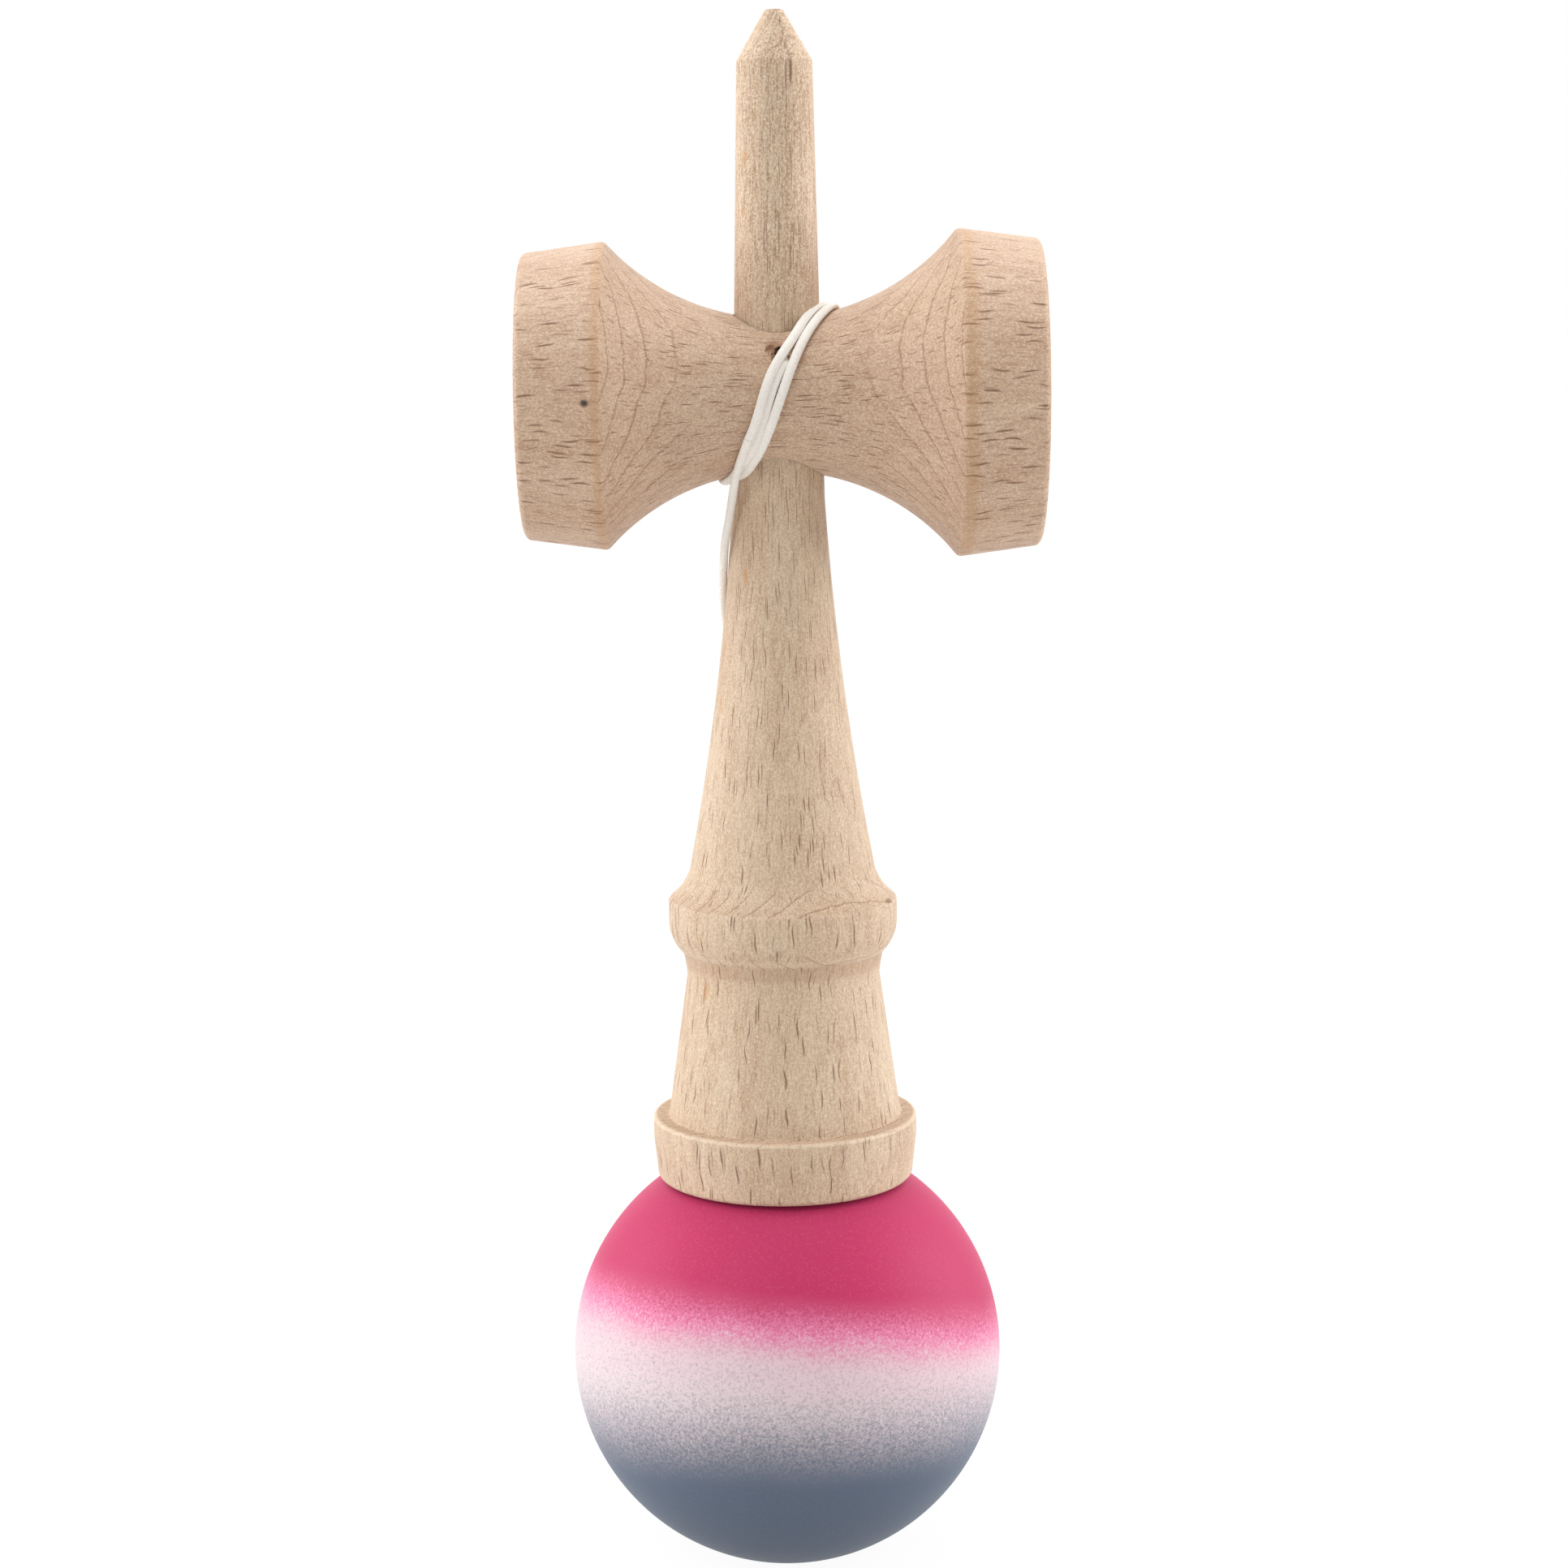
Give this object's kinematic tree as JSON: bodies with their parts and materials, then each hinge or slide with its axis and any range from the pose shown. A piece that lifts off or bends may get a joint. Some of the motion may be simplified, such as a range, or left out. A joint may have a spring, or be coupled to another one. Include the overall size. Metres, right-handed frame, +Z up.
{
  "type": "kendama",
  "caption": "Turned wooden cup-and-ball toy: spiked handle with cross cups, standing on its painted ball, with a string wound round the neck.",
  "frame": {"origin": "on the table under the ball's centre, in the plane of the ring round the big hole that the ball stands on", "axes": "+Z up the ken to the spike, +X along the cross piece to the big cup, the front with the string hole faces -Y"},
  "size_m": [0.0697, 0.06, 0.2126],
  "materials": {
    "ken_wood": "satin, bare sanded beech with short dark flecks along the handle",
    "sarado_wood": "satin, bare sanded beech with its grain along the cross piece",
    "tama_paint": "satin paint on turned beech, red-pink fading through white to grey-blue",
    "bead_wood": "smooth turned wood",
    "string": "matt braided synthetic cord"
  },
  "bodies": {
    "tama": {"tama": "tama_paint"},
    "bead": {"bead": "bead_wood", "string_tail": "string", "tama_knot": "string"},
    "ken": {"ken": "ken_wood", "string_run": "string", "ken_knot": "string"},
    "sarado": {"sarado": "sarado_wood", "string_winding": "string"}
  },
  "joints": [
    {"name": "bead_swivel", "type": "hinge", "parent": "tama", "child": "bead", "pos_m": [0, 0, 0.0363], "axis": [0, 0, 1], "continuous": true},
    {"name": "ken_lift", "type": "slide", "parent": "bead", "child": "ken", "axis": [0, 0, 1], "range_m": [0, 0.2]},
    {"name": "sarado_draw", "type": "slide", "parent": "ken", "child": "sarado", "axis": [0, 0, 1], "range_m": [0, 0.065]}
  ]
}
